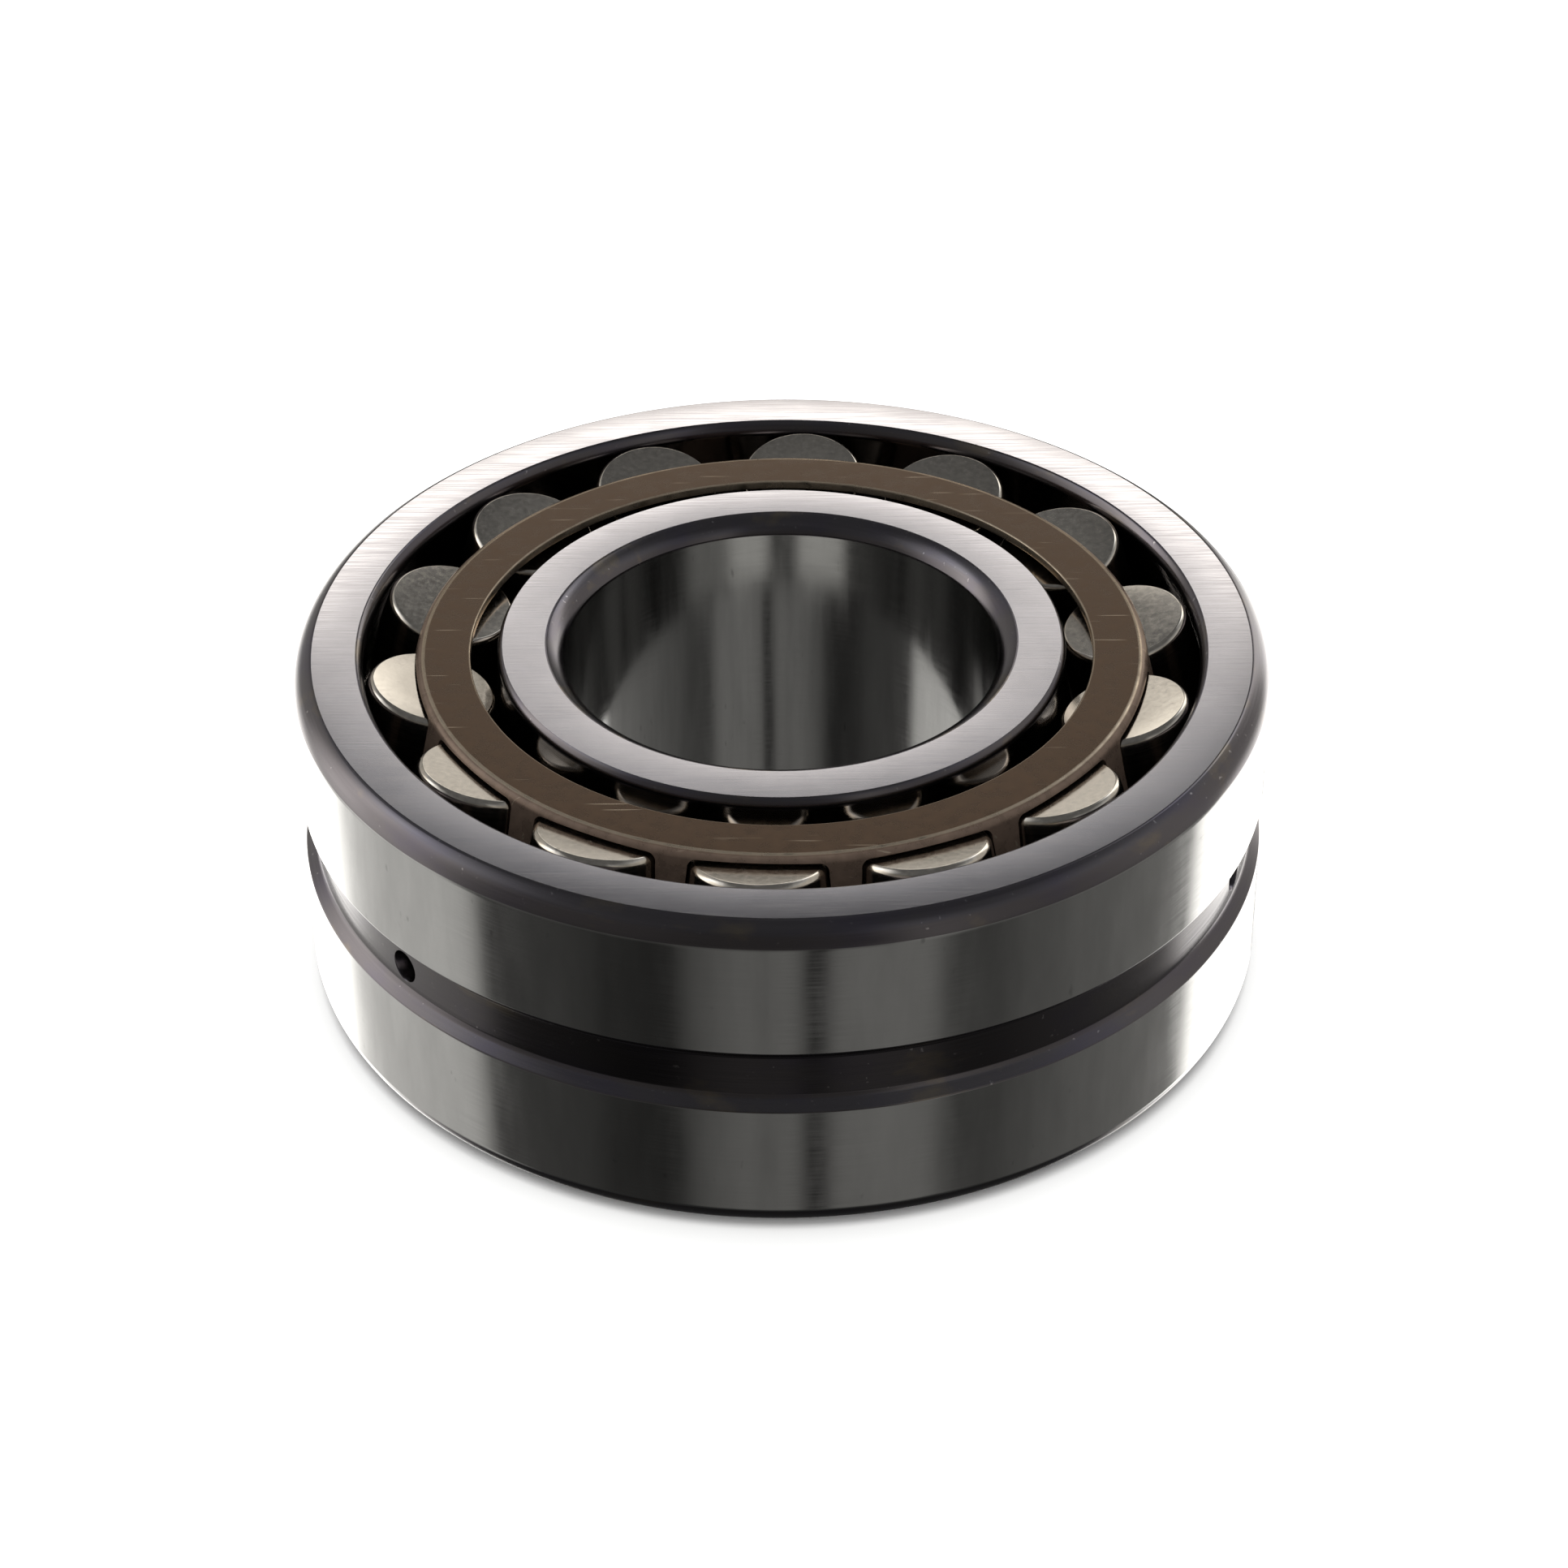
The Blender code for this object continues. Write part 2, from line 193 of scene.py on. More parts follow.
class BearingStudio(bpy.types.PropertyGroup):
    """Where the camera stands and how bright the studio is."""

    lens: bpy.props.FloatProperty(name="Lens", description="Focal length", default=96.99, unit="CAMERA")
    distance: length("Distance", "Camera to the bearing's middle", 398.7)
    elevation: bpy.props.FloatProperty(
        name="Elevation",
        description="Camera above the horizon",
        default=math.radians(35.244),
        unit="ROTATION",
    )
    roll: bpy.props.FloatProperty(
        name="Roll",
        description="Camera's turn about its own view",
        default=math.radians(-0.386),
        unit="ROTATION",
    )
    side_shift: bpy.props.FloatProperty(
        name="Side shift",
        description="Bearing right of the view's middle",
        default=-0.127 * MM,
        unit="LENGTH",
    )
    rise: bpy.props.FloatProperty(
        name="Rise", description="Bearing above the view's middle", default=0.22 * MM, unit="LENGTH"
    )
    floor_size: length("Floor size", "Side of the floor", 8000.0)
    key_power: bpy.props.FloatProperty(
        name="Overhead light", description="Power of the softbox above", default=16.0, unit="POWER"
    )


# --- Modelling ---------------------------------------------------------------------------------------


def sizes():
    return bpy.context.scene.bearing_sizes


def finishes():
    return bpy.context.scene.bearing_finishes


def spread(first, last, count):
    """Evenly spaced values from first to last."""
    return [first + (last - first) * step / count for step in range(count + 1)]


def arc_between(start, end, turn, count):
    """Points of an arc that bulges to the left of the way from start to end and turns by this angle."""
    start, end = Vector(start), Vector(end)
    across = (end - start).normalized()
    left = Vector((-across.y, across.x))
    radius = (end - start).length / 2 / math.sin(turn / 2)
    middle = (start + end) / 2 - left * radius * math.cos(turn / 2)
    points = []
    for angle in spread(-turn / 2, turn / 2, count):
        points.append(tuple(middle + left * radius * math.cos(angle) + across * radius * math.sin(angle)))
    return points


def pick(test):
    """In edit mode, select only the points whose place passes a test."""
    mesh = bmesh.from_edit_mesh(bpy.context.object.data)
    for vert in mesh.verts:
        vert.select = test(vert.co)
    mesh.select_flush_mode()
    bmesh.update_edit_mesh(bpy.context.object.data)


def at_place(radius, height):
    """A test for the outline point at this radius and height."""
    return lambda place: math.hypot(place.x - radius, place.z - height) < MERGE_DISTANCE


def draw_outline(name, points, rounded=(), closed=True):
    """Draw a section beside the axis, as by hand: extrude one point from corner to corner.

    Each entry of rounded is a corner, how far its rounding reaches along both sides, and its steps.
    """
    bpy.ops.object.select_all(action="DESELECT")
    bpy.ops.mesh.primitive_plane_add(size=MM)
    drawn = bpy.context.object
    drawn.name = name
    drawn.data.name = name
    bpy.ops.object.mode_set(mode="EDIT")
    bpy.ops.mesh.select_mode(type="VERT")
    bpy.ops.mesh.select_all(action="SELECT")
    bpy.ops.mesh.merge(type="CENTER")
    places = [Vector((radius, 0.0, height)) for radius, height in points]
    bpy.ops.transform.translate(value=places[0])
    for here, there in zip(places, places[1:]):
        bpy.ops.mesh.extrude_region_move(TRANSFORM_OT_translate={"value": there - here})
    if closed:
        first, last = at_place(*points[0]), at_place(*points[-1])
        pick(lambda place: first(place) or last(place))
        bpy.ops.mesh.edge_face_add()
    for corner, reach, steps in rounded:
        pick(at_place(*corner))
        bpy.ops.mesh.bevel(affect="VERTICES", offset=reach, offset_type="OFFSET", segments=steps)
    return drawn


def spin_outline(steps):
    """Turn the drawn outline about the axis, and close its seam and its poles. Leaves edit mode."""
    bpy.ops.mesh.select_all(action="SELECT")
    bpy.ops.mesh.spin(steps=steps, angle=2 * math.pi, center=(0.0, 0.0, 0.0), axis=(0.0, 0.0, 1.0))
    bpy.ops.mesh.select_all(action="SELECT")
    bpy.ops.mesh.remove_doubles(threshold=MERGE_DISTANCE)
    bpy.ops.mesh.normals_make_consistent(inside=False)
    bpy.ops.object.mode_set(mode="OBJECT")


def apply_modifier(thing, kind, **settings):
    """Add a modifier, set it up and apply it at once."""
    modifier = thing.modifiers.new(kind.title(), kind)
    for name, value in settings.items():
        setattr(modifier, name, value)
    bpy.context.view_layer.objects.active = thing
    bpy.ops.object.modifier_apply(modifier=modifier.name)


def cut_away(thing, cutter):
    """Cut the cutter's shape out of a piece, and throw the cutter away."""
    apply_modifier(thing, "BOOLEAN", operation="DIFFERENCE", solver="EXACT", object=cutter)
    bpy.data.objects.remove(cutter, do_unlink=True)


def select_only(thing):
    """Select this piece and nothing else, and make it the active one."""
    bpy.ops.object.select_all(action="DESELECT")
    thing.select_set(True)
    bpy.context.view_layer.objects.active = thing


def smooth_over(thing):
    """Shade smooth across roundings, and keep flats flat up to their edges."""
    select_only(thing)
    bpy.ops.object.shade_smooth_by_angle(angle=SMOOTH_ANGLE)
    apply_modifier(thing, "WEIGHTED_NORMAL", mode="FACE_AREA", weight=FLATS_WEIGHT, keep_sharp=True)


def copy_at(thing, place):
    """A copy of a piece with its own mesh, moved to a place that is then kept in the mesh."""
    select_only(thing)
    bpy.ops.object.duplicate(linked=False)
    copied = bpy.context.object
    copied.matrix_world = place
    bpy.ops.object.transform_apply(location=True, rotation=True, scale=True)
    return copied


def copies_around(thing, count, start=0.0):
    """Copy a piece evenly about the axis, the first one turned by the start angle, and join them all."""
    turns = [start + 2 * math.pi * number / count for number in range(count)]
    parts = [copy_at(thing, Matrix.Rotation(turn, 4, "Z")) for turn in turns]
    bpy.data.objects.remove(thing, do_unlink=True)
    for part in parts:
        part.select_set(True)
    bpy.context.view_layer.objects.active = parts[0]
    bpy.ops.object.join()
    return parts[0]


def dress(thing, materials, finish_of):
    """Give each face the material that finish_of names for its middle's radius, height and normal."""
    names = list(materials)
    for name in names:
        thing.data.materials.append(materials[name])
    for face in thing.data.polygons:
        radius = math.hypot(face.center.x, face.center.y)
        face.material_index = names.index(finish_of(radius, face.center.z, face.normal))


def stand_in(piece, node):
    """The piece moves with the node's body, and is shown in its place."""
    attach(piece, node)
    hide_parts(node)


# --- Materials ---------------------------------------------------------------------------------------


def add_node(tree, kind, inputs=None, **settings):
    """Add a node with its settings. Each input is a value, or another node's output to link from."""
    added = tree.nodes.new(kind)
    for name, value in settings.items():
        setattr(added, name, value)
    for name, value in (inputs or {}).items():
        if isinstance(value, bpy.types.NodeSocket):
            tree.links.new(value, added.inputs[name])
        else:
            added.inputs[name].default_value = value
    return added


def new_material(name, **values):
    """A material with its Principled shader set to these values."""
    material = bpy.data.materials.new(name)
    material.use_nodes = True
    shader = material.node_tree.nodes["Principled BSDF"]
    for socket, value in values.items():
        shader.inputs[socket.replace("_", " ")].default_value = value
    return material, material.node_tree, shader


def per_mm(spacing):
    """Noise scale that gives one lump for each spacing, in millimetres, on coordinates in metres."""
    return 1.0 / (spacing * MM)


def own_place(tree):
    """A roller's own coordinates, kept in its mesh, which turn with it."""
    return add_node(tree, "ShaderNodeAttribute", attribute_name="own_place").outputs["Vector"]


def object_place(tree):
    return add_node(tree, "ShaderNodeTexCoord").outputs["Object"]


def around_axis(tree, place, mean_radius):
    """Coordinates that follow a turned surface: (way around at the mean radius, radius, height)."""
    parts = add_node(tree, "ShaderNodeSeparateXYZ", {"Vector": place})
    flat = add_node(tree, "ShaderNodeCombineXYZ", {"X": parts.outputs["X"], "Y": parts.outputs["Y"]})
    radius = add_node(tree, "ShaderNodeVectorMath", {0: flat.outputs[0]}, operation="LENGTH")
    angle = add_node(
        tree, "ShaderNodeMath", {0: parts.outputs["Y"], 1: parts.outputs["X"]}, operation="ARCTAN2"
    )
    way = add_node(tree, "ShaderNodeMath", {0: angle.outputs[0], 1: mean_radius}, operation="MULTIPLY")
    joined = add_node(
        tree,
        "ShaderNodeCombineXYZ",
        {"X": way.outputs[0], "Y": radius.outputs["Value"], "Z": parts.outputs["Z"]},
    )
    return joined.outputs[0]


def noise(tree, place, spacing, stretch=(1.0, 1.0, 1.0), detail=3.0, turn=0.0):
    """Noise lumps of this spacing in millimetres, stretched along each axis by these factors."""
    mapping = add_node(
        tree,
        "ShaderNodeMapping",
        {"Vector": place, "Scale": [1.0 / factor for factor in stretch], "Rotation": (0.0, 0.0, turn)},
    )
    made = add_node(
        tree,
        "ShaderNodeTexNoise",
        {"Vector": mapping.outputs[0], "Scale": per_mm(spacing), "Detail": detail, "Roughness": 0.55},
    )
    return made.outputs["Fac"]


def remap(tree, value, low, high, start=0.3, end=0.7):
    """Spread a noise value between start and end over the range from low to high."""
    made = add_node(
        tree,
        "ShaderNodeMapRange",
        {"Value": value, "From Min": start, "From Max": end, "To Min": low, "To Max": high},
    )
    return made.outputs["Result"]


def blend(tree, share, first, second, mode="MIX"):
    """Mix two colours by a share, which is a number or another node's output."""
    made = add_node(
        tree, "ShaderNodeMix", {0: share, 6: first, 7: second}, data_type="RGBA", blend_type=mode
    )
    return made.outputs[2]


def shaded(value, factor):
    """A property's colour times a factor, with its alpha."""
    return (*[channel * factor for channel in value], 1.0)


def grey(level):
    return (level, level, level, 1.0)


def bump(tree, shader, height, depth):
    """Raise the surface by the height value times a depth in millimetres."""
    made = add_node(tree, "ShaderNodeBump", {"Height": height, "Distance": depth * MM, "Strength": 1.0})
    tree.links.new(made.outputs[0], shader.inputs["Normal"])


def ground_face_steel():
    """Bearing steel ground flat: light satin grey, with crossing wheel marks and a faint cloudiness."""
    base = finishes().ground
    material, tree, shader = new_material("ground_face_steel", Metallic=1.0)
    place = object_place(tree)
    # The marks are drawn 0.25 mm apart, several times coarser than the wheel's, so that they show.
    one_way = noise(tree, place, 0.25, stretch=(30.0, 1.0, 1.0), turn=math.radians(24.0))
    other_way = noise(tree, place, 0.25, stretch=(30.0, 1.0, 1.0), turn=math.radians(-38.0))
    crossed = add_node(tree, "ShaderNodeMath", {0: one_way, 1: other_way}, operation="ADD").outputs[0]
    clouds = noise(tree, place, 6.0)
    tint = blend(tree, remap(tree, clouds, 0.0, 1.0), shaded(base, 0.9), shaded(base, 1.04))
    tinted = blend(tree, remap(tree, crossed, 0.0, 0.5, 0.8, 1.2), tint, shaded(base, 0.8))
    tree.links.new(tinted, shader.inputs["Base Color"])
    tree.links.new(remap(tree, crossed, 0.11, 0.18, 0.8, 1.2), shader.inputs["Roughness"])
    bump(tree, shader, crossed, 0.001)
    return material


def ground_cylinder_steel():
    """Bearing steel ground round and polished: mirror-like, with hair lines around it. Its grey is darker
    than the same steel on the faces: painted shade for the dark studio it mirrors.
    """
    base = finishes().honed
    material, tree, shader = new_material("ground_cylinder_steel", Metallic=1.0)
    place = around_axis(tree, object_place(tree), OUTER_RADIUS)
    lines = noise(tree, place, 0.2, stretch=(60.0, 1.0, 1.0), detail=4.0)
    smears = noise(tree, place, 3.0, stretch=(1.0, 1.0, 4.0), detail=4.0)
    tint = blend(tree, remap(tree, smears, 0.0, 1.0), shaded(base, 0.88), shaded(base, 1.06))
    spots = noise(tree, place, 1.3, stretch=(1.0, 1.0, 2.2), detail=2.0)
    stained = blend(tree, remap(tree, spots, 0.0, 0.5, 0.72, 0.8), tint, shaded(base, 0.4))
    tree.links.new(stained, shader.inputs["Base Color"])
    marks = add_node(tree, "ShaderNodeMath", {0: lines, 1: smears}, operation="ADD").outputs[0]
    tree.links.new(remap(tree, marks, 0.1, 0.2, 0.7, 1.3), shader.inputs["Roughness"])
    bump(tree, shader, lines, 0.0006)
    return material


def turned_tempered_steel(name, factor):
    """Turned corners and grooves that keep the hardening's skin: dark, violet to straw, glossy.

    The factor darkens it for the groove's floor: painted shade in the recess of the groove.
    """
    colours = finishes()
    material, tree, shader = new_material(name, Metallic=1.0)
    place = around_axis(tree, object_place(tree), OUTER_RADIUS)
    tints = noise(tree, place, 5.0, stretch=(2.0, 1.0, 1.0), detail=4.0)
    violet = blend(tree, remap(tree, tints, 0.0, 0.6, 0.5, 0.72), shaded(colours.turned, factor),
                   shaded(colours.violet, factor))
    straw = blend(tree, remap(tree, tints, 0.35, 0.0, 0.28, 0.42), violet, shaded(colours.straw, factor))
    specks = noise(tree, place, 0.7, detail=2.0)
    worn = blend(tree, remap(tree, specks, 0.0, 0.6, 0.7, 0.78), straw, shaded(colours.ground, factor))
    tree.links.new(worn, shader.inputs["Base Color"])
    rings = noise(tree, place, 0.18, stretch=(80.0, 1.0, 1.0), detail=2.0)
    tree.links.new(remap(tree, rings, 0.16, 0.27), shader.inputs["Roughness"])
    bump(tree, shader, rings, 0.002)
    return material


def superfinished_steel(name, base, roughness, mean_radius, place_of):
    """Raceways and barrels: stone finished, close to a mirror, with a trace of lines around them."""
    material, tree, shader = new_material(name, Metallic=1.0)
    place = around_axis(tree, place_of(tree), mean_radius)
    lines = noise(tree, place, 0.15, stretch=(50.0, 1.0, 1.0))
    tint = blend(tree, remap(tree, lines, 0.0, 1.0), shaded(base, 0.93), shaded(base, 1.05))
    tree.links.new(tint, shader.inputs["Base Color"])
    tree.links.new(remap(tree, lines, roughness * 0.8, roughness * 1.25), shader.inputs["Roughness"])
    bump(tree, shader, lines, 0.0004)
    return material


def ground_roller_end_steel():
    """Roller ends, ground and tumbled: warm satin with a fine mottle and a few dark specks."""
    base = finishes().roller_end
    material, tree, shader = new_material("ground_roller_end_steel", Metallic=1.0)
    place = object_place(tree)
    mottle = noise(tree, place, 0.55, detail=5.0)
    tint = blend(tree, remap(tree, mottle, 0.0, 1.0), shaded(base, 0.88), shaded(base, 1.06))
    specks = noise(tree, place, 0.9, detail=2.0)
    speckled = blend(tree, remap(tree, specks, 0.0, 0.3, 0.7, 0.77), tint, shaded(base, 0.35))
    tree.links.new(speckled, shader.inputs["Base Color"])
    tree.links.new(remap(tree, mottle, 0.12, 0.19), shader.inputs["Roughness"])
    bump(tree, shader, mottle, 0.0015)
    return material


def phosphated_sheet_steel():
    """Pressed sheet with a brown phosphate coat: dull, mottled and scratched. Its edges are bright, partly
    rubbed bare and partly a painted highlight, and its outward side is painted paler as painted light.
    """
    colours = finishes()
    size = sizes()
    material, tree, shader = new_material(
        "phosphated_sheet_steel", Specular_IOR_Level=0.3, Specular_Tint=(1.0, 0.82, 0.66, 1.0)
    )
    place = object_place(tree)
    wheel = around_axis(tree, place, CAGE_BORE)
    mottle = noise(tree, place, 1.4, detail=6.0)
    flat = blend(tree, remap(tree, mottle, 0.0, 1.0), shaded(colours.sheet, 0.8), shaded(colours.sheet, 1.2))
    # Bright edges: narrow rings where the flange is blanked inside and bent outside, partly rubbed bare and
    # partly a painted highlight. The side beyond the bend is painted paler: painted light on the sheet's
    # outward side.
    radius = add_node(tree, "ShaderNodeSeparateXYZ", {"Vector": wheel}).outputs["Y"]
    bend = CAGE_BORE + flange_width() - size.cage_corner * 0.9
    outward_painted_light = remap(tree, radius, 0.0, 1.0, bend, bend + 0.3 * MM)
    side = blend(tree, remap(tree, mottle, 0.0, 1.0), shaded(colours.drawn, 0.8), shaded(colours.drawn, 1.2))
    coat = blend(tree, outward_painted_light, flat, side)
    # Bright rings at the bore's edge and at the bend: partly rubbed bare, partly a painted highlight.
    worn = None
    for edge in (CAGE_BORE, bend):
        off = add_node(tree, "ShaderNodeMath", {0: radius, 1: edge}, operation="SUBTRACT").outputs[0]
        near = add_node(tree, "ShaderNodeMath", {0: off}, operation="ABSOLUTE").outputs[0]
        ring = remap(tree, near, 1.0, 0.0, 0.08 * MM, 0.2 * MM)
        worn = ring if worn is None else add_node(
            tree, "ShaderNodeMath", {0: worn, 1: ring}, operation="MAXIMUM"
        ).outputs[0]
    patchy = remap(tree, noise(tree, place, 1.6), 0.4, 1.0)
    rubbed = add_node(tree, "ShaderNodeMath", {0: worn, 1: patchy}, operation="MULTIPLY").outputs[0]
    hairs = noise(tree, place, 1.1, stretch=(7.0, 0.25, 1.0), detail=1.0, turn=math.radians(35.0))
    scratches = remap(tree, hairs, 0.0, 0.5, 0.72, 0.78)
    bare = add_node(tree, "ShaderNodeMath", {0: rubbed, 1: scratches}, operation="MAXIMUM").outputs[0]
    tree.links.new(blend(tree, bare, coat, shaded(colours.worn, 1.0)), shader.inputs["Base Color"])
    tree.links.new(remap(tree, bare, 0.45, 1.0, 0.0, 1.0), shader.inputs["Metallic"])
    tree.links.new(remap(tree, mottle, 0.24, 0.34), shader.inputs["Roughness"])
    bump(tree, shader, mottle, 0.006)
    return material


def sintered_guide_iron():
    """Pressed and sintered iron, steam treated: dark grey and finely pitted."""
    base = finishes().iron
    material, tree, shader = new_material("sintered_guide_iron", Metallic=0.8)
    place = object_place(tree)
    grain = noise(tree, place, 0.4, detail=6.0)
    tint = blend(tree, remap(tree, grain, 0.0, 1.0), shaded(base, 0.75), shaded(base, 1.2))
    tree.links.new(tint, shader.inputs["Base Color"])
    tree.links.new(remap(tree, grain, 0.42, 0.6), shader.inputs["Roughness"])
    bump(tree, shader, grain, 0.01)
    return material


# How bright the groove's floor is, beside the skin on the corners: painted shade in the recess of the groove.
GROOVE_PAINTED_SHADE = 0.4


def ring_materials():
    """The finishes of both rings, made once."""
    names = {
        "face": "ground_face_steel",
        "cylinder": "ground_cylinder_steel",
        "turned": "turned_tempered_steel",
        "race": "superfinished_raceway_steel",
        # The groove's floor is the turned skin darkened: painted shade.
        "scale": "groove_floor_painted_shade_steel",
    }
    if names["face"] not in bpy.data.materials:
        ground_face_steel()
        ground_cylinder_steel()
        turned_tempered_steel(names["turned"], 1.0)
        turned_tempered_steel(names["scale"], GROOVE_PAINTED_SHADE)
        superfinished_steel(names["race"], finishes().raceway, 0.1, OUTER_RADIUS, object_place)
    return {finish: bpy.data.materials[name] for finish, name in names.items()}


# --- Pieces ------------------------------------------------------------------------------------------


RING_STEPS = 288
CAGE_STEPS = 252
ROLLER_STEPS = 80
ARC_STEPS = 10
# How far a window's block reaches past the sheet. Inside, the sheet curves away beside the window.
PAST_INSIDE = 1.2 * MM
PAST_OUTSIDE = 0.5 * MM
# The bend's rounding reaches this share of its radius along both sides. Inside it is nearly sharp.
BEND_REACH = 1.3
INNER_BEND = 0.15 * MM
# On a roller, faces whose normals lean further than this towards its axis are its ends.
END_LEAN = 0.25


def race_radius():
    return OUTER_RADIUS - sizes().outer_wall


def mirrored(half):
    """Add the lower half, mirrored in the middle plane, to a half that runs from top to middle."""
    return half + [(radius, -height) for radius, height in reversed(half)]


def both_ends(corners):
    """Roundings given for the upper half, for the lower half as well."""
    return corners + [((radius, -height), reach, steps) for (radius, height), reach, steps in corners]


class BEARING_OT_outer_ring(bpy.types.Operator):
    """Outer ring with its spherical raceway, grease groove and radial drillings"""

    bl_idname = "bearing.outer_ring"
    bl_label = "Outer ring"

    def execute(self, context):
        size = sizes()
        race = race_radius()
        face_inner = math.sqrt(race**2 - HALF_WIDTH**2) + size.mouth_radial
        face_outer = OUTER_RADIUS - size.corner_radial
        wall_top = HALF_WIDTH - size.corner_axial
        mouth_end = HALF_WIDTH - size.mouth_axial
        mouth = (math.sqrt(race**2 - mouth_end**2), mouth_end)
        wall_edge = (OUTER_RADIUS, wall_top)
        corner = arc_between((face_outer, HALF_WIDTH), wall_edge, math.radians(60.0), ARC_STEPS)
        groove_top = (OUTER_RADIUS, size.groove_width / 2)
        groove_floor = (OUTER_RADIUS - size.groove_depth, size.groove_floor / 2)
        reach = math.asin(mouth_end / race)
        raceway = [(race * math.cos(a), race * math.sin(a)) for a in spread(-reach, reach, 36)]
        mouth_edge = arc_between(mouth, (face_inner, HALF_WIDTH), math.radians(50.0), ARC_STEPS)
        outside = mirrored([*mouth_edge[1:], *corner, groove_top, groove_floor])
        rounded = both_ends([
            ((face_inner, HALF_WIDTH), size.edge_break, 3),
            (mouth, size.edge_break, 3),
            (groove_top, size.edge_break, 3),
            (groove_floor, 3 * size.edge_break, 4),
        ])
        piece = draw_outline("outer_ring_ground", outside + raceway, rounded)
        spin_outline(RING_STEPS)
        cut_away(piece, self.drillings())
        smooth_over(piece)

        def finish_of(radius, height, normal):
            if abs(normal.z) > LEVEL and abs(height) > HALF_WIDTH - size.edge_break:
                return "face"
            if radius > OUTER_RADIUS - SAME_SURFACE:
                return "cylinder"
            if abs(math.hypot(radius, height) - race) < SAME_SURFACE:
                return "race"
            # The groove's floor gets the painted shade.
            if abs(radius - groove_floor[0]) < SAME_SURFACE and abs(height) < groove_floor[1]:
                return "scale"
            return "turned"

        dress(piece, ring_materials(), finish_of)
        stand_in(piece, "outer_ring")
        return {"FINISHED"}

    def drillings(self):
        """The radial drillings as one cutter, each countersunk a little where it leaves the groove."""
        size = sizes()
        start = race_radius() - MM
        floor = OUTER_RADIUS - size.groove_depth
        bpy.ops.object.select_all(action="DESELECT")
        bpy.ops.mesh.primitive_cylinder_add(
            vertices=48,
            radius=size.hole_diameter / 2,
            depth=floor - size.edge_break - start,
            location=((floor - size.edge_break + start) / 2, 0.0, 0.0),
            rotation=(0.0, math.radians(90.0), 0.0),
        )
        drill = bpy.context.object
        bpy.ops.object.transform_apply(location=True, rotation=True, scale=True)
        bpy.ops.object.mode_set(mode="EDIT")
        bpy.ops.mesh.select_mode(type="VERT")
        pick(lambda place: place.x > floor - 2 * size.edge_break)
        flare = (size.hole_diameter / 2 + size.edge_break) / (size.hole_diameter / 2)
        for rise, factor in ((size.edge_break * 1.5, flare), (size.groove_depth, 1.0)):
            bpy.ops.mesh.extrude_region_move(TRANSFORM_OT_translate={"value": (rise, 0.0, 0.0)})
            bpy.ops.transform.resize(value=(1.0, factor, factor), center_override=(0.0, 0.0, 0.0))
        bpy.ops.mesh.select_all(action="SELECT")
        bpy.ops.mesh.normals_make_consistent(inside=False)
        bpy.ops.object.mode_set(mode="OBJECT")
        return copies_around(drill, size.hole_count, size.hole_azimuth)


class BEARING_OT_inner_ring(bpy.types.Operator):
    """Inner ring with its rounded bore, two hollow raceways and the land between them"""

    bl_idname = "bearing.inner_ring"
    bl_label = "Inner ring"

    def execute(self, context):
        size = sizes()
        hollow = race_radius()
        centre = ROLLER_DISTANCE - ROLLER_RADIUS - size.race_clearance + hollow
        middle = (centre * math.cos(CONTACT_ANGLE), centre * math.sin(CONTACT_ANGLE))

        def race_at(height):
            return middle[0] - math.sqrt(hollow**2 - (height - middle[1]) ** 2)

        race_top = HALF_WIDTH - size.inner_edge_axial
        land = size.centre_land / 2
        face_outer = race_at(HALF_WIDTH) - size.inner_edge_radial
        face_inner = BORE_RADIUS + size.bore_chamfer_radial
        bore_top = HALF_WIDTH - size.bore_chamfer_axial
        raceway = [(race_at(height), height) for height in spread(race_top, land, 24)]
        edge = arc_between((face_outer, HALF_WIDTH), raceway[0], math.radians(60.0), ARC_STEPS)
        outside = mirrored([*edge, *raceway[1:]])
        bore_edge = (BORE_RADIUS, bore_top)
        rounding = arc_between(bore_edge, (face_inner, HALF_WIDTH), math.radians(50.0), ARC_STEPS)
        bore = [(radius, -height) for radius, height in reversed(rounding)] + rounding
        rounded = both_ends([((race_at(land), land), size.edge_break, 3)])
        piece = draw_outline("inner_ring_ground", outside + bore, rounded)
        spin_outline(RING_STEPS)
        smooth_over(piece)

        def finish_of(radius, height, normal):
            if abs(normal.z) > LEVEL:
                return "face"
            if radius < BORE_RADIUS + SAME_SURFACE:
                return "cylinder"
            if abs(height) < land or radius < face_inner or abs(height) > race_top:
                return "turned"
            return "race"

        dress(piece, ring_materials(), finish_of)
        stand_in(piece, "inner_ring")
        return {"FINISHED"}


class BEARING_OT_guide_ring(bpy.types.Operator):
    """Loose guide ring between the two rows"""

    bl_idname = "bearing.guide_ring"
    bl_label = "Guide ring"

    def execute(self, context):
        edge = sizes().edge_break
        outline = mirrored([(GUIDE_BORE[0], abs(GUIDE_BORE[1])), (GUIDE_RIM[0], abs(GUIDE_RIM[1]))])
        piece = draw_outline("guide_ring_sintered", outline, [(corner, 2 * edge, 4) for corner in outline])
        spin_outline(RING_STEPS)
        smooth_over(piece)
        dress(piece, {"iron": sintered_guide_iron()}, lambda radius, height, normal: "iron")
        stand_in(piece, "guide_ring")
        return {"FINISHED"}


def beside_roller(outward, along):
    """The (radius, height) that lies outward from a roller's axis and along it."""
    across = ROLLER_DISTANCE + outward
    cos, sin = math.cos(CONTACT_ANGLE), math.sin(CONTACT_ANGLE)
    return (across * cos - along * sin, across * sin + along * cos)


def way_along(outward, height):
    """How far along a roller's axis a height is reached, on the cone that runs beside it."""
    return (height - (ROLLER_DISTANCE + outward) * math.sin(CONTACT_ANGLE)) / math.cos(CONTACT_ANGLE)


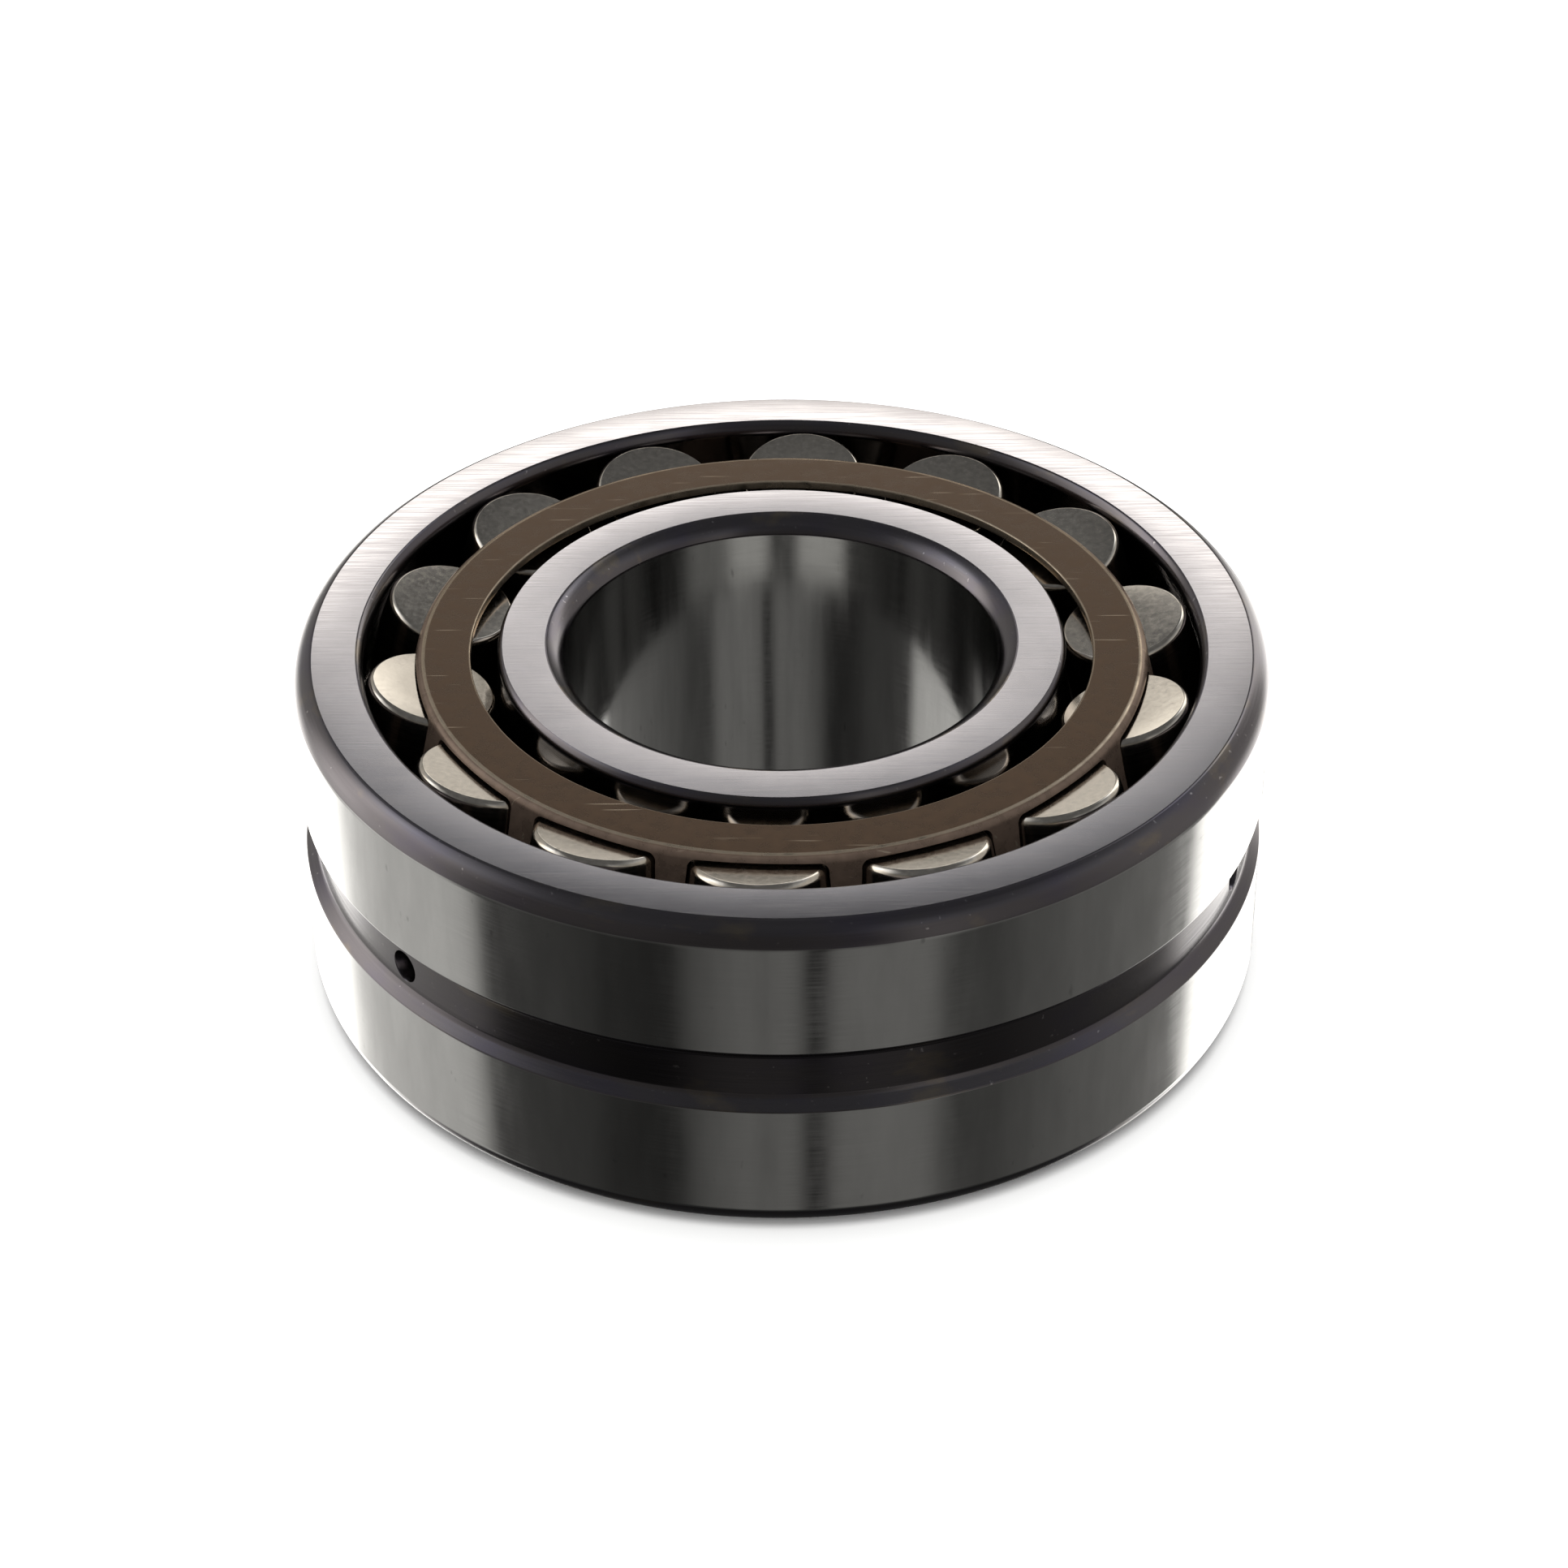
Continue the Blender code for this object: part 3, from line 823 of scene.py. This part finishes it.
def cone_radius(outward, height):
    """Radius at a height on the cone that runs beside a roller's axis."""
    return (ROLLER_DISTANCE + outward - height * math.sin(CONTACT_ANGLE)) / math.cos(CONTACT_ANGLE)


def flange_width():
    """Width of a cage's flange, from its bore to where the sheet's outer side turns down."""
    size = sizes()
    return cone_radius(size.cage_offset + size.cage_sheet / 2, CAGE_TOP) - CAGE_BORE


class BEARING_OT_cages(bpy.types.Operator):
    """Two pressed sheet cages, each with a window for every roller of its row"""

    bl_idname = "bearing.cages"
    bl_label = "Cages"

    def execute(self, context):
        size = sizes()
        outside = size.cage_offset + size.cage_sheet / 2
        inside = size.cage_offset - size.cage_sheet / 2
        underside = CAGE_TOP - size.cage_sheet
        end = way_along(inside, CAGE_LOW_RIM[1])
        flange_top = (CAGE_BORE, CAGE_TOP)
        flange_low = (CAGE_BORE, underside)
        bend_out = (cone_radius(outside, CAGE_TOP), CAGE_TOP)
        bend_in = (cone_radius(inside, underside), underside)
        rim_out, rim_in = beside_roller(outside, end), beside_roller(inside, end)
        rounded = [
            (flange_top, size.cage_edge, 4),
            (flange_low, size.cage_edge, 4),
            (bend_out, BEND_REACH * size.cage_corner, 8),
            (bend_in, INNER_BEND, 3),
            (rim_out, size.cage_edge, 4),
            (rim_in, size.cage_edge, 4),
        ]
        outline = [flange_top, bend_out, rim_out, rim_in, bend_in, flange_low]
        pressed = draw_outline("cage_pressed", outline, rounded)
        spin_outline(CAGE_STEPS)
        material = phosphated_sheet_steel()
        for side, turn in (("upper", 0.0), ("lower", math.pi)):
            piece = copy_at(pressed, Matrix.Rotation(turn, 4, "X"))
            piece.name = f"cage_{side}_pressed"
            cut_away(piece, self.windows(side))
            smooth_over(piece)
            dress(piece, {"sheet": material}, lambda radius, height, normal: "sheet")
            stand_in(piece, f"cage_{side}")
        bpy.data.objects.remove(pressed, do_unlink=True)
        return {"FINISHED"}

    def windows(self, side):
        """One block for each roller of a row, as one cutter. Its sides follow the barrel."""
        size = sizes()
        depth = size.cage_offset - size.cage_sheet / 2
        half_height = ROLLER_HALF_LENGTH + size.window_end_clearance
        barrel_end = ROLLER_HALF_LENGTH - size.roller_flat_drop
        edge = []
        for along in spread(half_height, -half_height, 12):
            radius = barrel_radius(min(abs(along), barrel_end))
            edge.append((math.sqrt(radius**2 - depth**2) + size.pocket_clearance, along))
        outline = edge + [(-across, along) for across, along in reversed(edge)]
        corners = [outline[0], edge[-1], outline[len(edge)], outline[-1]]
        block = draw_outline("window_block", outline, [(corner, size.window_corner, 6) for corner in corners])
        bpy.ops.mesh.select_all(action="SELECT")
        bpy.ops.mesh.edge_face_add()
        thickness = size.cage_sheet + PAST_INSIDE + PAST_OUTSIDE
        bpy.ops.mesh.extrude_region_move(TRANSFORM_OT_translate={"value": (0.0, thickness, 0.0)})
        bpy.ops.mesh.select_all(action="SELECT")
        bpy.ops.mesh.normals_make_consistent(inside=False)
        bpy.ops.object.mode_set(mode="OBJECT")
        spins = roller_spins(side)
        out_to_sheet = Matrix.Translation((0.0, depth - PAST_INSIDE, 0.0))
        y_to_outward = Matrix.Rotation(math.radians(-90.0), 4, "Z")
        block.matrix_world = roller_place(spins[0][1]) @ y_to_outward @ out_to_sheet
        bpy.ops.object.transform_apply(location=True, rotation=True, scale=True)
        return copies_around(block, len(spins))


def barrel_radius(along):
    """Radius of a roller's barrel at a distance from its middle."""
    crown = sizes().crown_radius
    return ROLLER_RADIUS - crown + math.sqrt(crown**2 - along**2)


def roller_place(joint):
    """Where a roller stands: local Z along its axis, local X away from the bearing's axis."""
    along = Vector(joint["axis"]).normalized()
    middle = Vector(joint["pos_m"])
    outward = (middle - along * middle.dot(along)).normalized()
    sideways = along.cross(outward)
    turn = Matrix((outward, sideways, along)).transposed()
    return Matrix.Translation(middle) @ turn.to_4x4()


class BEARING_OT_rollers(bpy.types.Operator):
    """Two rows of barrel rollers with rounded ends"""

    bl_idname = "bearing.rollers"
    bl_label = "Rollers"

    def execute(self, context):
        size = sizes()
        barrel_end = ROLLER_HALF_LENGTH - size.roller_flat_drop
        rim = (barrel_radius(barrel_end), barrel_end)
        flat = rim[0] - size.roller_flat_inset
        end = arc_between((flat, ROLLER_HALF_LENGTH), rim, math.radians(55.0), 6)
        barrel = [(barrel_radius(height), height) for height in spread(barrel_end, 0.0, 8)][1:]
        half = [(0.0, ROLLER_HALF_LENGTH), (flat * 0.5, ROLLER_HALF_LENGTH), *end, *barrel]
        outline = half + [(radius, -height) for radius, height in reversed(half[:-1])]
        model = draw_outline("roller_model", outline, closed=False)
        spin_outline(ROLLER_STEPS)
        smooth_over(model)
        materials = {
            "end": ground_roller_end_steel(),
            "barrel": superfinished_steel(
                "superfinished_roller_steel", finishes().roller_barrel, 0.14, ROLLER_RADIUS, own_place
            ),
        }

        def finish_of(radius, height, normal):
            return "end" if abs(normal.z) > END_LEAN else "barrel"

        dress(model, materials, finish_of)
        own = model.data.attributes.new("own_place", "FLOAT_VECTOR", "POINT")
        for vert, kept in zip(model.data.vertices, own.data):
            kept.vector = vert.co
        for side in ("upper", "lower"):
            for node, joint in roller_spins(side):
                piece = copy_at(model, roller_place(joint))
                piece.name = node.replace("roller", "barrel")
                stand_in(piece, node)
        bpy.data.objects.remove(model, do_unlink=True)
        return {"FINISHED"}


# --- Studio ------------------------------------------------------------------------------------------


SOFTBOX_SIDE = 1.2
SOFTBOX_PLACE = (0.0, 0.15, 1.0)
# What the steel mirrors straight up, and straight down in the dark under the bearing.
ROOF_LEVEL = 0.15
UNDERNEATH_LEVEL = 0.05
# Low light is a little warm and high light a little cool.
WARM_LIGHT = (1.02, 1.0, 0.96, 1.0)
COOL_LIGHT = (0.95, 0.99, 1.05, 1.0)
# Panels around the bearing, below the horizon and above it: degrees to the left of straight behind
# the bearing, and brightness.
LOWER_PANELS = (
    (-177.0, 0.36), (-174.0, 0.02), (-171.0, 0.02), (-168.5, 0.37), (-145.0, 0.38), (-140.0, 0.13),
    (-128.0, 0.14), (-116.0, 0.22), (-92.0, 0.32), (-80.0, 0.38), (-69.0, 0.5), (-64.0, 3.6),
    (-19.0, 3.6), (-15.0, 0.25), (-11.0, 0.2), (-7.0, 0.5), (0.0, 0.5), (4.0, 0.2),
    (11.0, 0.3), (14.5, 3.6), (49.0, 3.4), (56.0, 1.6), (68.0, 1.25), (100.0, 1.15),
    (106.0, 0.13), (132.0, 0.1), (138.0, 0.06), (154.0, 0.05), (159.0, 0.2), (172.0, 0.35),
    (176.0, 0.26), (179.0, 0.36),
)
UPPER_PANELS = (
    (-180.0, 0.12), (-160.0, 0.15), (-150.0, 0.52), (-135.0, 0.35), (-122.0, 0.32), (-112.0, 0.4),
    (-100.0, 0.55), (-86.0, 0.65), (-53.0, 0.6), (-44.0, 0.8), (-38.0, 2.6), (-28.0, 2.4),
    (-22.0, 0.4), (-16.0, 0.14), (14.0, 0.14), (22.0, 0.45), (50.0, 0.6), (57.0, 1.5),
    (64.0, 2.6), (73.0, 3.0), (82.0, 2.0), (95.0, 1.5), (102.0, 0.9), (112.0, 0.4),
    (120.0, 0.22), (150.0, 0.16), (160.0, 0.12), (180.0, 0.12),
)
# The back wall: how much of it shows at each of those angles, and its brightness by the sine of the
# elevation.
BACK_SHARE = ((-180.0, 0.0), (-14.0, 0.0), (-9.0, 1.0), (10.0, 1.0), (14.0, 0.0), (180.0, 0.0))
BACK_BY_SINE = (
    (0.0, 0.1), (0.13, 0.15), (0.18, 0.28), (0.25, 1.0), (0.42, 0.8), (0.46, 1.5), (0.485, 3.4),
    (0.508, 3.6), (0.52, 1.9), (0.535, 0.95), (0.555, 0.75), (0.575, 0.58), (0.6, 0.42),
    (0.625, 0.25), (0.66, 0.14), (0.75, 0.1), (0.84, 0.13), (0.88, 0.2), (1.0, 0.25),
)


class BEARING_OT_studio(bpy.types.Operator):
    """Pale floor, soft light with broad bright and dark panels to mirror, and the camera"""

    bl_idname = "bearing.studio"
    bl_label = "Studio"

    def execute(self, context):
        self.add_floor(context)
        self.add_overhead(context)
        self.add_surround(context)
        self.add_camera(context)
        context.scene.view_settings.view_transform = "Standard"
        return {"FINISHED"}

    def add_floor(self, context):
        """The floor takes shadows. The steel doesn't mirror it, but the panels that stand lower down."""
        studio = context.scene.bearing_studio
        bpy.ops.object.select_all(action="DESELECT")
        bpy.ops.mesh.primitive_plane_add(size=studio.floor_size, location=(0.0, 0.0, -HALF_WIDTH))
        floor = context.object
        floor.name = "floor"
        material, tree, shader = new_material("floor_paper", Roughness=0.9)
        pale = finishes().floor
        fibres = noise(tree, object_place(tree), 40.0)
        tint = blend(tree, remap(tree, fibres, 0.0, 1.0), shaded(pale, 0.985), shaded(pale, 1.0))
        tree.links.new(tint, shader.inputs["Base Color"])
        shader.inputs["Specular IOR Level"].default_value = 0.0
        floor.data.materials.append(material)
        floor.visible_glossy = False

    def add_overhead(self, context):
        """A wide softbox above, which lights the floor and the dull surfaces."""
        softbox = bpy.data.lights.new("overhead_softbox", "AREA")
        softbox.shape = "SQUARE"
        softbox.size = SOFTBOX_SIDE
        softbox.energy = context.scene.bearing_studio.key_power
        holder = bpy.data.objects.new("overhead_softbox", softbox)
        holder.location = SOFTBOX_PLACE
        holder.visible_glossy = False
        context.scene.collection.objects.link(holder)

    def add_surround(self, context):
        """The studio's walls, by direction. Below the horizon they are upright panels around the bearing."""
        world = bpy.data.worlds.new("studio_surround")
        world.use_nodes = True
        context.scene.world = world
        tree = world.node_tree
        direction = add_node(tree, "ShaderNodeTexCoord").outputs["Generated"]
        parts = add_node(tree, "ShaderNodeSeparateXYZ", {"Vector": direction})
        leftward = add_node(tree, "ShaderNodeMath", {0: parts.outputs["X"], 1: -1.0}, operation="MULTIPLY")
        angle = add_node(
            tree, "ShaderNodeMath", {0: leftward.outputs[0], 1: parts.outputs["Y"]}, operation="ARCTAN2"
        )
        around = remap(tree, angle.outputs[0], 0.0, 1.0, -math.pi, math.pi)
        height = parts.outputs["Z"]
        below = self.panels(tree, around, LOWER_PANELS, -180.0, 180.0)
        beside = self.panels(tree, around, UPPER_PANELS, -180.0, 180.0)
        sides = blend(tree, remap(tree, height, 0.0, 1.0, -0.5, -0.1), below, beside)
        roofed = blend(tree, remap(tree, height, 0.0, 1.0, 0.6, 0.85), sides, grey(ROOF_LEVEL))
        behind = self.panels(tree, height, BACK_BY_SINE, 0.0, 1.0)
        share = self.panels(tree, around, BACK_SHARE, -180.0, 180.0)
        is_above = remap(tree, height, 0.0, 1.0, -0.02, 0.02)
        back_share = add_node(tree, "ShaderNodeMath", {0: share, 1: is_above}, operation="MULTIPLY")
        panelled = blend(tree, back_share.outputs[0], roofed, behind)
        warmth = blend(tree, remap(tree, height, 0.0, 1.0, 0.5, 0.6), WARM_LIGHT, COOL_LIGHT)
        warmed = blend(tree, 1.0, panelled, warmth, "MULTIPLY")
        # Edges that face down mirror the dark under the bearing.
        underneath = remap(tree, height, 1.0, 0.0, -0.85, -0.7)
        surround = blend(tree, underneath, warmed, grey(UNDERNEATH_LEVEL))
        ray = add_node(tree, "ShaderNodeLightPath").outputs
        lighting = blend(tree, ray["Is Glossy Ray"], grey(1.0), surround)
        shown = blend(tree, ray["Is Camera Ray"], lighting, shaded(finishes().backdrop, 1.0))
        background = tree.nodes["Background"]
        tree.links.new(shown, background.inputs["Color"])

    def panels(self, tree, value, stops, low, high):
        """Grey levels from (place, level) stops. The value runs from 0 at low to 1 at high."""
        made = add_node(tree, "ShaderNodeValToRGB", {"Fac": value})
        elements = made.color_ramp.elements
        for number, (place, level) in enumerate(stops):
            position = (place - low) / (high - low)
            element = elements[number] if number < 2 else elements.new(position)
            element.position = position
            element.color = grey(level)
        return made.outputs["Color"]

    def add_camera(self, context):
        studio = context.scene.bearing_studio
        lens = bpy.data.cameras.new("camera")
        lens.lens = studio.lens
        lens.clip_start = 0.01
        holder = bpy.data.objects.new("camera", lens)
        context.scene.collection.objects.link(holder)
        cos, sin = math.cos(studio.elevation), math.sin(studio.elevation)
        back = Vector((0.0, -cos, sin))
        up = Vector((0.0, sin, cos))
        holder.location = back * studio.distance - Vector((studio.side_shift, 0.0, 0.0)) - up * studio.rise
        tilt = Matrix.Rotation(math.radians(90.0) - studio.elevation, 4, "X")
        holder.rotation_euler = (tilt @ Matrix.Rotation(studio.roll, 4, "Z")).to_euler()
        context.scene.camera = holder


# --- Sidebar, registration and the run ---------------------------------------------------------------


OPERATORS = (
    BEARING_OT_outer_ring,
    BEARING_OT_inner_ring,
    BEARING_OT_guide_ring,
    BEARING_OT_cages,
    BEARING_OT_rollers,
    BEARING_OT_studio,
)


class BEARING_PT_pieces(bpy.types.Panel):
    """Buttons for each piece of the bearing, with the sizes and colours they use"""

    bl_label = "Spherical roller bearing"
    bl_idname = "BEARING_PT_pieces"
    bl_space_type = "VIEW_3D"
    bl_region_type = "UI"
    bl_category = "Bearing"

    def draw(self, context):
        for operator in OPERATORS:
            self.layout.operator(operator.bl_idname)
        for name in ("bearing_sizes", "bearing_finishes", "bearing_studio"):
            group = getattr(context.scene, name)
            box = self.layout.box()
            for shown in group.bl_rna.properties:
                if not shown.is_readonly and shown.identifier != "name":
                    box.prop(group, shown.identifier)


CLASSES = (BearingSizes, BearingFinishes, BearingStudio, *OPERATORS, BEARING_PT_pieces)


def register():
    for item in CLASSES:
        bpy.utils.register_class(item)
    bpy.types.Scene.bearing_sizes = bpy.props.PointerProperty(type=BearingSizes)
    bpy.types.Scene.bearing_finishes = bpy.props.PointerProperty(type=BearingFinishes)
    bpy.types.Scene.bearing_studio = bpy.props.PointerProperty(type=BearingStudio)


def unregister():
    del bpy.types.Scene.bearing_studio
    del bpy.types.Scene.bearing_finishes
    del bpy.types.Scene.bearing_sizes
    for item in reversed(CLASSES):
        bpy.utils.unregister_class(item)


def main():
    register()
    bpy.ops.bearing.outer_ring()
    bpy.ops.bearing.inner_ring()
    bpy.ops.bearing.guide_ring()
    bpy.ops.bearing.cages()
    bpy.ops.bearing.rollers()
    bpy.ops.bearing.studio()


if __name__ == "__main__":
    main()
